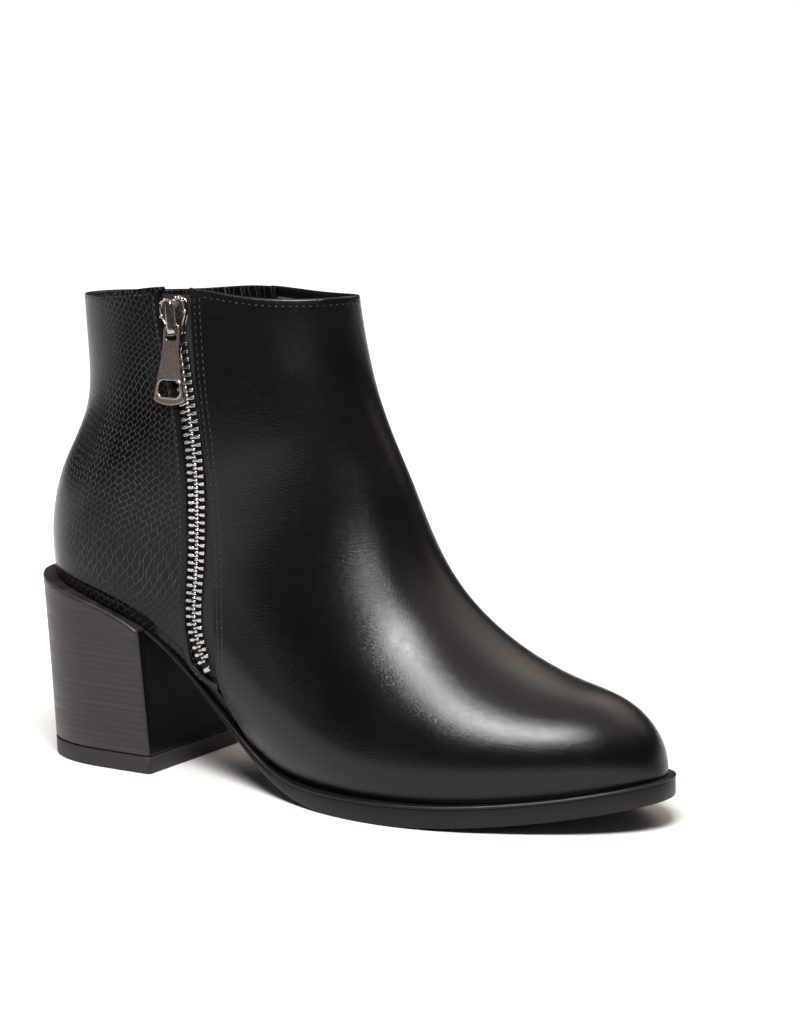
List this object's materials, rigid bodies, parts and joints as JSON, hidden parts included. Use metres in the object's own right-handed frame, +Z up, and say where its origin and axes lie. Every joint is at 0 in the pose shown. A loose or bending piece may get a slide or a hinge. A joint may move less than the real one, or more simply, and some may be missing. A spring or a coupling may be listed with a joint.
{
  "type": "zip ankle boot",
  "caption": "Right ankle boot in leather with a block heel, an almond toe and a zip up the outer side that ends in a long flat pull tab.",
  "frame": {"origin": "bottom centre of the boot's box, on the floor that the sole and the heel stand on", "axes": "+X to the toe, +Y to the inner side of the foot, +Z up; the zip is on the -Y side"},
  "size_m": [0.2396, 0.0836, 0.1678],
  "materials": {
    "upper_leather": "smooth black leather with a satin gloss; small embossed squares on the back panel",
    "binding_leather": "folded black leather strip",
    "insole_leather": "dark soft lining leather",
    "sole": "dark grey, satin edge",
    "heel_leather": "stacked layers, dark warm grey, fine level lines",
    "heel_rubber": "matt dark grey tread",
    "tape": "black woven tape",
    "teeth_metal": "bright silver teeth",
    "slider_metal": "bright warm grey nickel",
    "pull_metal": "warm grey nickel with bright bevels",
    "stop_metal": "bright silver clamp"
  },
  "bodies": {
    "boot": {"upper": "upper_leather", "zip_binding": "binding_leather", "insole": "insole_leather", "outsole": "sole", "heel_block": "heel_leather", "heel_tip": "heel_rubber", "zip_tape": "tape", "zip_teeth": "teeth_metal", "zip_slider": "slider_metal", "zip_stop": "stop_metal"},
    "pull_tab": {"zip_pull": "pull_metal"}
  },
  "joints": [
    {"name": "pull_hinge", "type": "hinge", "parent": "boot", "child": "pull_tab", "pos_m": [-0.05184, -0.02781, 0.15567], "axis": [-0.9997, -0.0234, 0], "range_deg": [0, 140]}
  ]
}
